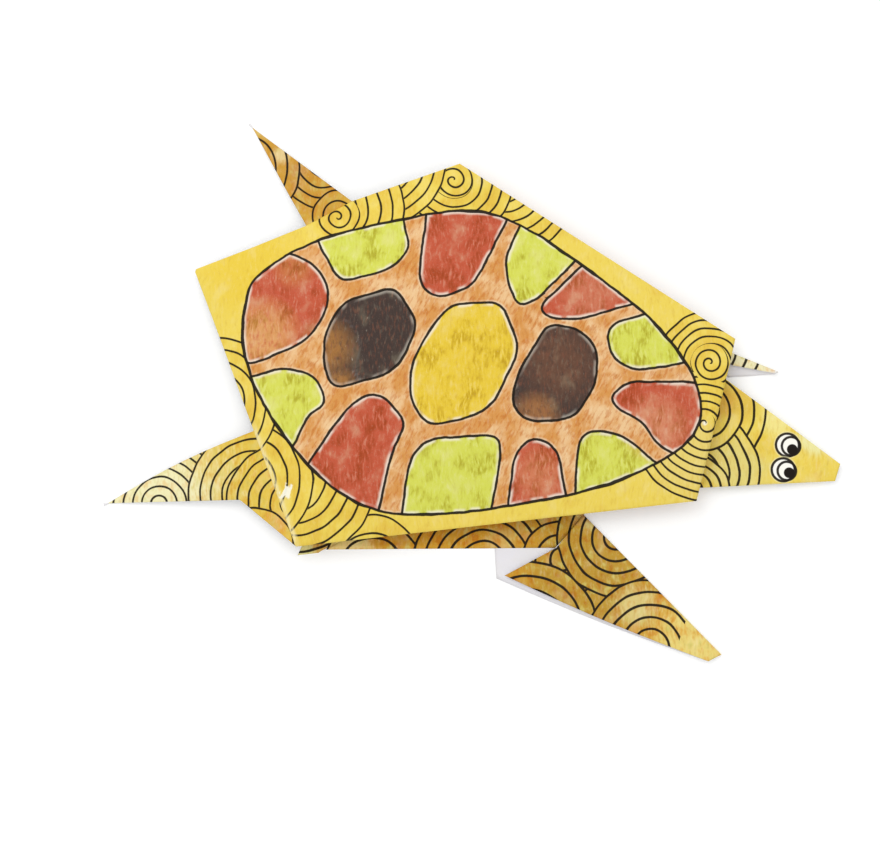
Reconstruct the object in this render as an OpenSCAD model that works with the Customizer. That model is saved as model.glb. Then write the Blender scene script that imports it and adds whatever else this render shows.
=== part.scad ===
// Origami turtle folded from one square sheet of coloured-in paper.
// The sides of the sheet fold under along the shell and come back out as legs.
// A pleat across the front lets the head stand out from beneath the shell.
// X runs from the tail to the head, Y to the turtle's left, Z up from the table.

/* [Paper] */
// Thickness of the sheet
paper_t = 0.2; // [0.1:0.05:0.4]
// Width left at the end of each pointed tip
tip_w = 0.8; // [0.4:0.1:2]
// Height of the coloured wax on the printed side
wax_t = 0.05; // [0.03:0.01:0.1]

/* [Shell] */
// Tail corner to the middle of the front fold
shell_l = 156; // [140:0.5:175]
// Left corner, from the tail along the axis
left_x = 63.5; // [56:0.5:72]
// Left corner, out from the axis
left_y = 52.5; // [46:0.5:60]
// Right corner, from the tail along the axis
right_x = 52.5; // [48:0.5:58]
// Right corner, out from the axis
right_y = 67.5; // [62:0.5:70]
// Left end of the front fold, out from the axis
front_left_y = 27.5; // [22:0.5:34]
// Right end of the front fold, out from the axis
front_right_y = 20.5; // [18:0.5:26]
// How much further forward the right end of the front fold lies
front_skew = 3; // [0:0.5:6]
// Height of the folded edges above the table
rim_z = 5.5; // [4.5:0.5:8]
// Height of the tail corner above the table
tail_z = 2.5; // [1:0.5:4]
// Rise of the shell above its edges
dome_rise = 8; // [4:0.5:14]
// Rise of the front fold above its ends
front_rise = 2; // [0:0.5:4]

/* [Side folds] */
// How far each side folds in under the shell
side_fold_in = 20; // [14:1:24]
// How much shorter the inner fold is at the back
side_mitre_back = 14; // [8:1:20]
// How much shorter the inner fold is at the front
side_mitre_front = 30; // [26:1:40]
// Height of the inner fold above the table
side_fold_z = 0.8; // [0.6:0.1:1.2]
// How far the right border's back tab shows past the right corner
tab_out = 2.2; // [1:0.2:4]
// Length of that tab, along the shell's right edge
tab_l = 6; // [3:0.5:9]
// Width of the right border that shows in front of the tab
border_back_w = 1.4; // [0.5:0.1:3]
// Width of the right border that shows, at the front leg
border_front_w = 8.5; // [7:0.5:10]
// How far the left border stays back under the shell
border_left_in = 4; // [3:0.5:8]

/* [Head] */
// Front fold to the tip of the snout
head_l = 38; // [30:0.5:46]
// Width of the neck at the front fold
neck_w = 32.5; // [28:0.5:34]
// Width of the snout's blunt end
snout_w = 5; // [3:0.5:8]
// Depth of the pleat behind the front fold
pleat_l = 13; // [9:0.5:16]
// Height of the pleat's inner fold
pleat_z = 3.2; // [2.8:0.1:3.8]
// Height of the snout
snout_z = 1.6; // [1.2:0.1:2.4]
// Radius of the eyes
eye_r = 3.4; // [2.5:0.1:4]
// Radius of the pupils
pupil_r = 1.7; // [1:0.1:2]
// Snout tip back to the middle of the eyes
eye_back = 16; // [13:0.5:20]
// Eyes, out from the axis
eye_y = 3.5; // [3:0.1:4]

/* [Back legs] */
// Left leg's tip, from the tail along the axis
left_tip_x = 1; // [-4:0.5:6]
// Left leg's tip, out from the axis
left_tip_y = 46.3; // [40:0.5:52]
// Tail corner to the left leg, along the edge
left_leg_from = 34.5; // [30:0.5:38]
// Width of the left leg where it leaves the shell
left_leg_w = 15; // [12:0.5:18]
// How far the left edge swells out beside the leg
left_swell = 1.6; // [0:0.2:3]
// Right leg's tip, from the tail along the axis
right_tip_x = -4.2; // [-8:0.2:0]
// Right leg's tip, out from the axis
right_tip_y = 72.5; // [68:0.5:78]
// Tail corner to the right leg, along the edge
right_leg_from = 50; // [45:0.5:55]
// How far the right leg's back edge bows out
right_leg_bow = 1.4; // [0:0.2:3]
// Right leg's lower corner, from the tail along the axis
right_heel_x = 33; // [30:0.5:36]
// Right leg's lower corner, out from the axis
right_heel_y = 59.5; // [58:0.5:62]

/* [Front legs] */
// Right leg's tip, from the tail along the axis
fore_tip_x = 177.4; // [170:0.2:186]
// Right leg's tip, out from the axis
fore_tip_y = 60; // [54:0.2:66]
// Right leg's back corner, from the tail along the axis
fore_back_x = 111.7; // [109:0.1:114]
// Right leg's back corner, out from the axis
fore_back_y = 57.2; // [54:0.1:60]
// Swell of the right leg's lower edge
fore_swell = 0.8; // [0:0.2:3]
// How much the right leg's blunt tip is cut back, each way
fore_blunt = 3; // [1:0.5:5]
// How far the right leg's bare underlayer shows past it, at the back corner
fore_under_w = 2.2; // [0.6:0.1:3]
// How far that underlayer shows behind the back corner
fore_under_back = 1.1; // [0.5:0.1:3]
// Length of that underlayer along the shell's right edge
fore_under_run = 26; // [20:1:30]
// Left leg's tip, from the tail along the axis
far_tip_x = 169.5; // [164:0.5:176]
// Left leg's tip, out from the axis
far_tip_y = 22.9; // [20:0.1:26]
// Front fold forward to where the left leg leaves the shell
far_ahead = 1.5; // [1:0.5:3]
// Left end of the front fold in to where the left leg leaves the shell
far_inset = 3.5; // [2:0.5:5]
// Width of the left leg's printed layer under the front fold
far_print_w = 3.4; // [2:0.2:5]
// Width of the left leg's bare layer under the front fold
far_bare_w = 7; // [6:0.2:9]

/* [Print] */
// How far forward the print sits on the shell
print_forward = 0.5; // [-2:0.5:2]
// How far to the right the print sits on the shell
print_right = 1.5; // [-2:0.5:3]
// Corner radius of the scutes
scute_r = 2; // [0.5:0.5:3]
// Gap between the oval's edge and the scutes inside it
scute_gap = 0.5; // [0.3:0.1:1]
// How much each scute's outline is let out or taken in
scute_grow = 0; // [-1:0.25:0.5]

/* [Hidden] */

GOLD = "#E8C83F";
OCHRE = "#D2A02C";
REVERSE = "#F2EFE8";
GROUND = "#DB8F4C";
RED = "#C4523C";
LIME = "#C8DC50";
YELLOW = "#E3C437";
DARK = "#4A3630";

lay_z = paper_t / 2;              // middle of a layer that lies on the table
columns = 10;                     // panels across the shell
lift = 3 * paper_t;               // height of a layer that lies over another
leg_rise = 0.6;                   // how much the middle of a back leg stands proud of its edges
tuck = 0.02;                      // share of a back leg that runs in under the shell's edge
knee = 0.35;                      // share of a back leg at which its lower edge turns
back_leg_steps = [-tuck, 0, knee, 0.7, 0.9, 1];
front_leg_steps = [0, 0.25, 0.5, 0.75, 0.92, 1];
head_steps = [0, 0.35, 0.7, 0.92, 1];
leg_crease_at = 0.72;             // right side fold to the front leg's crease, as a share of that fold
crease_lean = 8.9;                // how far back that crease leans at its outer end
under_tuck = 3;                   // how far the right front leg's underlayer runs in under the shell
under_joined_at = 0.6;            // share of that leg at which its underlayer has come up to its front fold
border_rise = 0.15;               // how much the right border rises to lie on that underlayer
left_border_start = 6;            // left corner forward to its border
left_border_end = 12;             // front fold back to the end of the left border
far_root_back = 8;                // end of the left border back to the left leg's root
border_flat = 0.6;                // share of a border that lies flat on the table
pleat_skew = 1;                   // how much the pleat's inner fold is turned towards the left
head_drop = 0.4;                  // how much lower the neck lies than the pleat's inner fold

function mix(a, b, s) = a + (b - a) * s;
function unit(v) = v / norm(v);
function left_of(v) = [-v.y, v.x];
function at(p, z) = [p.x, p.y, z];
function flat(p) = [p.x, p.y];

// Plan corners of the shell
corner_l = [left_x, left_y];
corner_r = [right_x, -right_y];
front_l = [shell_l - front_skew / 2, front_left_y];
front_r = [shell_l + front_skew / 2, -front_right_y];

// Places along the two edges that meet at the tail
along_l = unit(corner_l);
along_r = unit(corner_r);
leg_l_a = along_l * left_leg_from;
leg_l_b = along_l * (left_leg_from + left_leg_w) + left_of(along_l) * left_swell;
leg_r_a = along_r * right_leg_from;

function tail_edge_z(p, corner) = mix(tail_z, rim_z, min(1, norm(p) / norm(corner)));

// Each station joins a place on the right edge to one on the left edge
edge_r = [
    at([0, -tip_w / 2], tail_z),
    at(leg_r_a / 2, tail_edge_z(leg_r_a / 2, corner_r)),
    at(leg_r_a, tail_edge_z(leg_r_a, corner_r)),
    at(mix(leg_r_a, corner_r, 0.5), tail_edge_z(mix(leg_r_a, corner_r, 0.5), corner_r)),
    at(corner_r, rim_z),
    for (s = [0.15, 0.35, 0.55, 0.78, 1]) at(mix(corner_r, front_r, s), rim_z)
];
edge_l = [
    at([0, tip_w / 2], tail_z),
    at(leg_l_a / 2, tail_edge_z(leg_l_a / 2, corner_l)),
    at(leg_l_a, tail_edge_z(leg_l_a, corner_l)),
    at(leg_l_b, tail_edge_z(leg_l_b, corner_l)),
    at(mix(leg_l_b, corner_l, 0.5), tail_edge_z(mix(leg_l_b, corner_l, 0.5), corner_l)),
    at(corner_l, rim_z),
    for (s = [0.25, 0.5, 0.76, 1]) at(mix(corner_l, front_l, s), rim_z)
];
stations = len(edge_r);
corner_station = 4;               // station of the right corner
side_station = 5;                 // station of the left corner
crest = 0.55;                     // highest place, as a share of the stations
dome_square = 2.2;                // how square the shell's arch is: 2 is a parabola

function crest_rise(u) =
    u < crest
    ? dome_rise * (1 - pow(1 - u / crest, 2))
    : mix(dome_rise, front_rise, pow((u - crest) / (1 - crest), 2));
function across_rise(s) = 1 - pow(abs(2 * s - 1), dome_square);

shell_rows = [
    for (i = [0 : stations - 1]) [
        for (j = [0 : columns])
            let (s = j / columns)
            mix(edge_r[i], edge_l[i], s) + [0, 0, crest_rise(i / (stations - 1)) * across_rise(s)]
    ]
];

// A fold on which a side turns under the shell, with its mitred inner fold
function inner_fold(back, front, inward) =
    let (way = unit(front - back))
    [back + way * side_mitre_back + inward * side_fold_in,
     front - way * side_mitre_front + inward * side_fold_in];
way_r = unit(front_r - corner_r);
way_l = unit(front_l - corner_l);
in_r = left_of(way_r);
in_l = -left_of(way_l);
inner_r = inner_fold(corner_r, front_r, in_r);
inner_l = inner_fold(corner_l, front_l, in_l);

function points_along(line, n, z, rise = 0) =
    [for (i = [0 : n]) at(mix(line[0], line[1], i / n), z + rise * i / n)];
function part_of(list, from, to) = [for (i = [from : to]) list[i]];

side_r_edge = part_of(edge_r, corner_station, stations - 1);
side_l_edge = part_of(edge_l, side_station, stations - 1);

// Right border, from the inner fold out past the shell to the front leg's crease, where it lies on that
// leg's underlayer
crease_top = mix(corner_r, front_r, leg_crease_at);
crease_end = crease_top - in_r * border_front_w - way_r * crease_lean;
border_r_start = corner_r - in_r * border_back_w + way_r * (tab_l + border_back_w);
border_r_out = concat(
    [for (run = [0, tab_l]) at(corner_r - in_r * tab_out + way_r * run, lay_z)],
    points_along([border_r_start, crease_end], 3, lay_z, border_rise)
);
border_r_rows = [
    points_along(inner_r, 5, side_fold_z),
    points_along([mix(corner_r, inner_r[0], border_flat), mix(crease_top, inner_r[1], border_flat)],
        5, lay_z, border_rise),
    border_r_out
];

// Right front leg: a printed layer over a bare one, joined along the leg's front fold
fore_tip = [fore_tip_x, -fore_tip_y];
fore_back = [fore_back_x, -fore_back_y];
leg_way = unit(fore_tip - crease_top);
leg_out = -left_of(leg_way);
fore_tip_low = fore_tip - [fore_blunt, fore_blunt];
function fore_low(s) =
    mix(fore_back, fore_tip_low, s) - [0, fore_swell * sin(180 * s)];
fore_rows = [
    for (s = front_leg_steps)
        let (top = mix(crease_top, fore_tip, s))
        let (mid = s == 0 ? crease_end : mix(top, fore_low(s), 0.5))
        [at(top, lift + lay_z), at(mid, 2 * lift), at(fore_low(s), 2 * lift)]
];
under_top = crease_top - way_r * fore_under_run + in_r * under_tuck;
fore_under_rows = [
    for (s = front_leg_steps)
        let (top = s == 0 ? under_top : mix(crease_top, fore_tip, s))
        let (z = mix(lay_z, lift + lay_z, min(1, s / under_joined_at)))
        let (past = leg_out * fore_under_w - leg_way * fore_under_back)
        let (under = fore_low(s) + past * (1 - s))
        [at(top, z), at(mix(top, under, 0.3), lay_z), at(under, lay_z)]
];

// Left border and front leg, which the shell hides but for the leg's tip
border_l_out = [
    corner_l + in_l * border_left_in + way_l * left_border_start,
    front_l + in_l * border_left_in - way_l * left_border_end
];
border_l_rows = [
    points_along(inner_l, 4, side_fold_z),
    points_along([for (e = [0, 1]) mix(border_l_out[e], inner_l[e], border_flat)], 4, lay_z),
    points_along(border_l_out, 4, lay_z)
];
far_tip = [far_tip_x, far_tip_y];
far_root = border_l_out[1] - way_l * far_root_back;
far_out = front_l + [far_ahead, -far_inset];
far_print = far_out - [0, far_print_w];
far_bare = far_out - [0, far_bare_w];
far_end = far_tip - [tip_w, tip_w];
function far_rows(inner_root, inner_mid, z) = [
    [at(far_root, lift + lay_z), at(inner_root, z)],
    [at(far_out, lift + lay_z), at(inner_mid, z)],
    [at(far_tip, lift + lay_z), at(far_end, z)]
];

// Front pleat and head
front_mid = mix(front_r, front_l, 0.5);
neck_r = [shell_l + front_skew / 2, -neck_w / 2];
neck_l = [shell_l - front_skew / 2, neck_w / 2];
pleat_r = neck_r - [pleat_l, -pleat_skew];
pleat_l_end = neck_l - [pleat_l, -pleat_skew];
head_z = pleat_z - head_drop;
pleat_rows = [
    part_of(shell_rows[stations - 1], 0, columns),
    [for (j = [0 : columns]) at(mix(pleat_r, pleat_l_end, j / columns), pleat_z)]
];
snout_x = shell_l + head_l;
head_rows = [
    for (s = concat([-pleat_l / head_l], head_steps))
        let (right = s < 0 ? pleat_r : mix(neck_r, [snout_x, -snout_w / 2], s))
        let (left = s < 0 ? pleat_l_end : mix(neck_l, [snout_x, snout_w / 2], s))
        let (z = s < 0 ? pleat_z : mix(head_z, snout_z, s))
        [for (j = [0 : 4]) at(mix(right, left, j / 4), z)]
];
// The folded edges of the sheet turn in beneath the head and meet along its axis
function head_flap(side) = [
    for (s = part_of(head_steps, 0, 3))
        let (edge = mix(side < 0 ? neck_r : neck_l, [snout_x, side * snout_w / 2], s))
        let (z = mix(head_z, snout_z, s))
        let (low = z - lift - paper_t)
        [at(edge, z), at([edge.x, edge.y / 2], low), at([edge.x, side * tip_w / 2], low)]
];

// Back legs, which carry on from the shell past the edges that meet at the tail
function leg_rows(a, b, tip, heel, rise, bow) =
    let (back = unit(mix(flat(a), flat(b), 0.5) - tip))
    let (aside = unit(flat(a) - flat(b)))
    [
        for (s = back_leg_steps)
            let (side = mix(flat(a), tip - left_of(back) * tip_w / 2, s) + aside * bow * sin(180 * s))
            let (p = s < 0 ? flat(a) + back * lift : side)
            let (mid = s < knee ? flat(b) : mix(heel, tip, (s - knee) / (1 - knee)))
            let (q = s < 0 ? flat(b) + back * lift : s == 1 ? tip + left_of(back) * tip_w / 2 : mid)
            let (up = s < 0 ? 0 : max(paper_t / 2, rise * sin(180 * s)))
            let (za = mix(a.z, lay_z, max(0, s)))
            let (zb = mix(b.z, lay_z, max(0, s)))
            [at(p, za), at(mix(p, q, 0.5), mix(za, zb, 0.5) + up), at(q, zb)]
    ];
right_leg_rows = leg_rows(edge_r[2], at(corner_r, rim_z), [right_tip_x, -right_tip_y],
    [right_heel_x, -right_heel_y], leg_rise, right_leg_bow);
left_leg_rows = leg_rows(edge_l[3], edge_l[2], [left_tip_x, left_tip_y],
    mix(leg_l_a, [left_tip_x, left_tip_y], knee), leg_rise, 0);

// Printed oval on the shell: a smooth closed line through these places, from the tail's left side round
oval_marks = [
    [16.5, -2], [19, 7], [30, 19], [50, 31.5], [72, 41.5], [90, 40.5], [112, 33.5], [130, 26],
    [145, 15], [151, 3], [146, -9], [130, -23.5], [108, -36], [88, -45], [70, -49.5], [52, -45], [34, -33],
    [21, -18]
];
function wrapped(list, i) = list[(i + len(list)) % len(list)];
function spline(a, b, c, d, t) =
    0.5 * (2 * b + (c - a) * t + (2 * a - 5 * b + 4 * c - d) * t * t + (3 * b - a - 3 * c + d) * t * t * t);
oval = [
    for (i = [0 : len(oval_marks) - 1]) for (t = [0, 0.5])
        let (near = [for (k = [-1 : 2]) wrapped(oval_marks, i + k)])
        spline(near[0], near[1], near[2], near[3], t)
];

// Scutes, each with its colour and corners. The outer ones run past the oval, which trims them.
scutes = [
    [RED, [[8, 13], [24, 14], [33, 12.5], [39.5, 6], [39.5, -4], [36, -11], [23, -21], [8, -20]]],
    [LIME, [[31, 19.5], [41, 9.5], [54, 17.5], [57.5, 25], [53, 31.5], [50, 45], [25, 30]]],
    [RED, [[57, 45], [59, 34], [62.5, 16], [69, 13], [77.5, 19.5], [79, 27], [82, 48]]],
    [LIME, [[86, 46], [84, 32], [85.5, 26], [91.5, 18], [96, 21], [106, 42]]],
    [RED, [[108, 40], [97.5, 20], [101, 17.5], [109, 19.5], [126, 31.5], [122, 40]]],
    [LIME, [[133, 31], [120, 23], [118, 18.5], [122.5, 11.5], [130, 11], [145, 19], [142, 29]]],
    [RED, [[154, 14], [146, 13], [128, 7], [124.5, 1.5], [127.5, -1.5], [135.5, -2.5], [142, -8],
        [154, -9]]],
    [LIME, [[119.5, -13], [123, -9], [131, -8], [147, -14], [137, -29], [124.5, -32]]],
    [RED, [[103.5, -22], [107, -16], [115, -17.5], [123, -33], [107, -42]]],
    [LIME, [[75.5, -33], [78.5, -26], [97, -19], [99.8, -23], [102.5, -44], [90, -52], [79, -54]]],
    [RED, [[47.5, -46], [53, -28], [57, -20], [62.5, -18], [72, -23.5], [70, -32], [72, -54], [50, -54]]],
    [LIME, [[18, -25], [25, -24], [33, -18.5], [43, -18.5], [48.5, -25], [44, -30], [42.5, -42], [28, -44]]],
    [DARK, [[41.5, -6], [43.5, 4], [56.5, 13], [66, 5], [65.5, -6], [62.5, -12], [49, -20.5], [44.5, -16]]],
    [YELLOW, [[73, 12.5], [87, 18], [96, 6], [93.5, -11], [88, -17], [77.5, -22.5], [71, -17.5], [68, -9],
        [69, 1]]],
    [DARK, [[101.5, 16.5], [111.5, 17], [117.5, 13], [119.5, 3], [116.5, -8], [104, -13], [98, -9],
        [97.5, 0]]]
];

// Middle of the whole sheet in plan, so that the origin is at the centre of its base
extremes = [
    flat(edge_r[0]),
    corner_l,
    corner_r,
    [left_tip_x, left_tip_y],
    [right_tip_x, -right_tip_y],
    fore_tip,
    [snout_x, 0]
];
xs = [for (p = extremes) p.x];
ys = [for (p = extremes) p.y];
middle = [(min(xs) + max(xs)) / 2, (min(ys) + max(ys)) / 2];

// A sheet of even thickness through rows of points, each row with the same number.
// The rows may run either way round, because the faces turn with them.
module sheet(rows, thick = paper_t, up = 0) {
    n = len(rows);
    m = len(rows[0]);
    count = n * m;
    points = [
        for (z = [1, -1]) for (row = rows) for (p = row) p + [0, 0, z > 0 ? thick / 2 + up : -thick / 2]
    ];
    top = [
        for (i = [0 : n - 2]) for (j = [0 : m - 2])
            let (a = i * m + j)
            each [[a, a + 1, a + m], [a + 1, a + m + 1, a + m]]
    ];
    rim = concat(
        [for (j = [0 : m - 1]) j],
        [for (i = [1 : n - 1]) i * m + m - 1],
        [for (j = [m - 2 : -1 : 0]) (n - 1) * m + j],
        [for (i = [n - 2 : -1 : 1]) i * m]
    );
    faces = concat(
        top,
        [for (f = top) [f[2] + count, f[1] + count, f[0] + count]],
        [
            for (k = [0 : len(rim) - 1])
                let (a = rim[k])
                let (b = rim[(k + 1) % len(rim)])
                each [[b, a, a + count], [b, a + count, b + count]]
        ]
    );
    across = flat(rows[0][1] - rows[0][0]);
    along = flat(rows[1][0] - rows[0][0]);
    turned = cross(across, along) > 0;
    polyhedron(points = points, faces = [for (f = faces) turned ? [f[2], f[1], f[0]] : f], convexity = 8);
}

module shell() {
    color(GOLD) sheet(shell_rows);
}

// A field of wax over the part of a layer inside an outline
module wax(rows, up) {
    intersection() {
        sheet(rows, paper_t / 2, paper_t / 4 + up);
        linear_extrude(height = 2 * (rim_z + dome_rise)) children();
    }
}

module printed() {
    translate([print_forward, -print_right]) children();
}

module shell_print() {
    color(GROUND) wax(shell_rows, wax_t / 2) printed() polygon(oval);
    for (scute = scutes) {
        color(scute[0]) wax(shell_rows, wax_t) printed() intersection() {
            offset(delta = -scute_gap) polygon(oval);
            offset(r = scute_r, $fn = 24) offset(delta = scute_grow - scute_r) polygon(scute[1]);
        }
    }
}

module side_folds() {
    color(REVERSE) {
        sheet([side_r_edge, points_along(inner_r, len(side_r_edge) - 1, side_fold_z)]);
        sheet([side_l_edge, points_along(inner_l, len(side_l_edge) - 1, side_fold_z)]);
    }
    color(OCHRE) {
        sheet(border_r_rows);
        sheet(border_l_rows);
    }
}

module back_legs() {
    color(OCHRE) {
        sheet(left_leg_rows);
        sheet(right_leg_rows);
    }
}

module front_legs() {
    color(OCHRE) {
        sheet(fore_rows);
        sheet(far_rows(far_root - [0, far_print_w], far_print, 2 * lift));
    }
    color(REVERSE) {
        sheet(fore_under_rows);
        sheet(far_rows(far_root - [0, far_bare_w], far_bare, lay_z));
    }
}

module eyes() {
    for (side = [-1, 1]) {
        color("white") wax(head_rows, wax_t / 2) translate([snout_x - eye_back, side * eye_y])
            circle(r = eye_r, $fn = 32);
        color(DARK) wax(head_rows, wax_t) translate([snout_x - eye_back + eye_r / 2, side * eye_y])
            circle(r = pupil_r, $fn = 24);
    }
}

module head() {
    color(REVERSE) sheet(pleat_rows);
    color(GOLD) sheet(head_rows);
    color(REVERSE) {
        sheet(head_flap(-1));
        sheet(head_flap(1));
    }
}

module folded_sheet() {
    translate([-middle.x, -middle.y, 0]) {
        shell();
        shell_print();
        side_folds();
        back_legs();
        front_legs();
        head();
        eyes();
    }
}

folded_sheet();
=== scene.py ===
"""Folds a coloured-in paper turtle and sets it on a plain studio floor.

The sheet is one square of printed paper: the print faces up on the shell, legs and head, and the bare
white side shows where a leg is folded back. Plan places are in millimetres, x from the tail corner
towards the snout and y to the turtle's left. Objects are in metres, in the frame's own axes.
"""
import math
from collections import namedtuple

import bmesh
import bpy
import numpy as np
from mathutils import Euler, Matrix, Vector, noise


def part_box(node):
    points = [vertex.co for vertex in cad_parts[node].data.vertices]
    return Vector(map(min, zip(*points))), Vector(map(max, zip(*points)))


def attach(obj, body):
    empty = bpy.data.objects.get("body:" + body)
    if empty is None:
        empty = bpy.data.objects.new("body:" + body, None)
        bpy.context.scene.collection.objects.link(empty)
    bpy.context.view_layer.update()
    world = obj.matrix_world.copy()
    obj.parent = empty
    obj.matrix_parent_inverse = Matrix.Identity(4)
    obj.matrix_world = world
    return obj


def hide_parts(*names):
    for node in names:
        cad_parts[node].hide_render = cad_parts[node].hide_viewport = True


bl_info = {
    "name": "Pencilled Paper Turtle",
    "version": (1, 0, 0),
    "blender": (4, 5, 0),
    "location": "View3D > Sidebar > Turtle",
    "description": "Folds a coloured-in paper turtle and sets it on a plain studio floor",
    "category": "Object",
}

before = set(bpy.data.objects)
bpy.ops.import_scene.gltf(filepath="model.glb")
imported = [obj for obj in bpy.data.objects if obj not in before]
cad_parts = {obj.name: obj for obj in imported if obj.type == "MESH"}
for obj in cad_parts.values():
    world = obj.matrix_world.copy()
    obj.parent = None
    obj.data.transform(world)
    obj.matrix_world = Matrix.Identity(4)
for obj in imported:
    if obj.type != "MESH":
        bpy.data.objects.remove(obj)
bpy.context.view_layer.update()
SHEET_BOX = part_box("folded_sheet")

MM = 0.001

# Plan corners of the shell, and the tips, in millimetres
LEFT_CORNER = Vector((63.5, 52.5))
RIGHT_CORNER = Vector((52.5, -67.5))
FRONT_LEFT = Vector((154.5, 27.5))
FRONT_RIGHT = Vector((157.5, -20.5))
LEFT_TIP = Vector((1, 46.3))
RIGHT_TIP = Vector((-4.2, -72.5))
RIGHT_HEEL = Vector((33, -59.5))
FORE_TIP = Vector((177.4, -60))
FORE_TIP_LOW = FORE_TIP - Vector((3, 3))
FORE_BACK = Vector((111.7, -57.2))
FAR_TIP = Vector((169.5, 22.9))
SNOUT_X = 194
SNOUT_WIDTH = 5
TIP_WIDTH = 0.8

# The sheet's middle in plan is the frame's origin
MIDDLE = Vector((SNOUT_X - SHEET_BOX[1].x / MM, LEFT_CORNER.y - SHEET_BOX[1].y / MM))

# Back legs: how far from the tail each starts, its width or bow, and the share of its length at its heel
LEFT_LEG_FROM = 34.5
LEFT_LEG_WIDTH = 15
LEFT_SWELL = 1.6
RIGHT_LEG_FROM = 50
RIGHT_LEG_BOW = 1.4
KNEE = 0.35
LEG_RISE = 0.6

# The first share of a back leg, which is tucked under the shell, how far, and how steeply the leg comes down
LEG_TUCKED = 0.03
LEG_TUCK = 0.6
LEG_FALL = 0.8

# Side folds under the shell: how far in they run, how far their ends are mitred, and their height inside
SIDE_FOLD_IN = 20
SIDE_MITRE_BACK = 14
SIDE_MITRE_FRONT = 30
SIDE_FOLD_Z = 0.8

# Borders: each side fold comes back out flat on the table, and on the right side it shows past the shell
BORDER_FLAT = 0.6
BORDER_BACK = 1.4
BORDER_FRONT = 8.5
BORDER_RISE = 0.15
TAB_OUT = 2.2
TAB_LENGTH = 6
LEFT_BORDER_IN = 4
LEFT_BORDER_START = 6
LEFT_BORDER_END = 12

# Right front leg: the crease where it leaves the border, the swell of its back edge, and its bare underlayer
LEG_CREASE_AT = 0.72
CREASE_LEAN = 8.9
CREASE_PAST = 0.5
FORE_SWELL = 0.8
FORE_UNDER = 2.2
FORE_UNDER_BACK = 1.1
FORE_UNDER_RUN = 26
UNDER_TUCK = 3
UNDER_FLAT_TO = 0.25
UNDER_JOINED_AT = 0.6
UNDER_DOWN_BY = 0.3
FORE_ROOT = 0.25

# Left front leg: where it starts under the shell, and the widths of its printed and bare layers
FAR_ROOT_BACK = 8
FAR_AHEAD = 1.5
FAR_INSET = 3.5
FAR_PRINT = 3.4
FAR_BARE = 7

# Pleat and head: widths, heights, and the shares of the head that the shell hides and that its flaps reach
NECK_WIDTH = 32.5
PLEAT_DEPTH = 13
PLEAT_Z = 3.2
PLEAT_SKEW = 1
NECK_DROP = 0.4
HEAD_HIDDEN = 0.2
FLAP_END = 0.92
SNOUT_Z = 1.6

# Shell: the share of its length at the crest, how square its arch is, and the heights of its two ends
CREST = 0.55
ARCH_SQUARE = 2.2
FRONT_RISE = 2
TAIL_Z = 2.5

# Shares along the shell's long edges at which the two edges' places face each other
RIGHT_SHARES = (0, 0.15, 0.35, 0.55, 0.78, 1)
LEFT_SHARES = (0, 0.25, 0.5, 0.76, 1)

# The share of a layer's columns that is brought close to each fold, within this many bends of it, and the
# most of the layer's width that they may take up
EDGE_COLUMNS = 0.1
EDGE_BENDS = 3
EDGE_MOST = 0.2

# Unevenness of hand-folded paper: the spans of its broad and fine waves, which are cut from two slices of
# noise, the fine one's share, and how far inside the shell's side and front folds it has its full height
BROAD_WAVE = 16
FINE_WAVE = 5
FINE_SLICE = Vector((0, 0, 8))
FINE_SHARE = 0.3
CALM_SIDE = 8
CALM_FRONT = 6

# Shares of the bend's radius: the drop of the paper as it turns, and how far inside a fold a hem lies
BEND_DROP = 0.6
HEM_IN = 0.4

# The scutes sit a little forward and to the right on the shell, the rings a little to the left
PRINT_SHIFT = Vector((0.5, -1.5))
RING_SHIFT = Vector((-0.2, 0.6))

# A set of rings drawn about one place: reach is the outer ring's radius, gap the space between rings.
# A coil winds inwards instead. side = (x, y, least) keeps the rings to where x * X + y * Y > least.
# A later set covers an earlier one.
Rings = namedtuple("Rings", "x y reach gap coil side", defaults=(False, None))

SHELL_RINGS = (
    Rings(75, -67, 14.3, 4.9),
    Rings(46.8, -50.3, 22.8, 3.5),
    Rings(32.6, -54.5, 20, 3.7),
    Rings(17, -36, 19.2, 3.3),
    Rings(77, 51, 22.3, 3.15),
    Rings(63.5, 46.5, 17.2, 2.95),
    Rings(63.5, 46.5, 5.2, 2.6, coil=True),
    Rings(42, 45, 18.6, 3.1),
    Rings(31, 27, 22.5, 3.4, side=(1, 0, 36)),
    Rings(34.7, 26.2, 6.4, 2.7, coil=True),
    Rings(153.5, 0, 21.4, 2.4),
    Rings(153.5, 0.4, 3, 3.2, coil=True),
    Rings(150.3, 17.6, 15.5, 2.4, side=(0, 1, 13.6)),
    Rings(149.7, 17.8, 5.2, 2.4, coil=True),
)
BACK_LEG_RINGS = (
    Rings(11.2, -67.6, 18.8, 2.75),
    Rings(37.1, -56.9, 19.6, 3.3),
    Rings(47.1, -56.4, 18.2, 3.05),
    Rings(41.2, -71, 10.9, 9),
    Rings(26, 43, 15, 3.1),
    Rings(3, 33, 17, 3.4),
    Rings(34.5, 27.5, 7.5, 3.2),
)
BORDER_RINGS = (
    Rings(46.8, -50.3, 22.8, 3.5),
    Rings(75, -67, 14.3, 5.1),
    Rings(105, -56.3, 20.3, 3.35),
    Rings(125.8, -47.9, 11.3, 4),
    Rings(123.1, -69.6, 19.1, 3.9),
    Rings(139, -37.2, 17, 3.4),
    Rings(157.7, -64.2, 19.4, 3.55, side=(-1, 0, -165)),
    Rings(150, 23.5, 13, 3.3),
)
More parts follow.
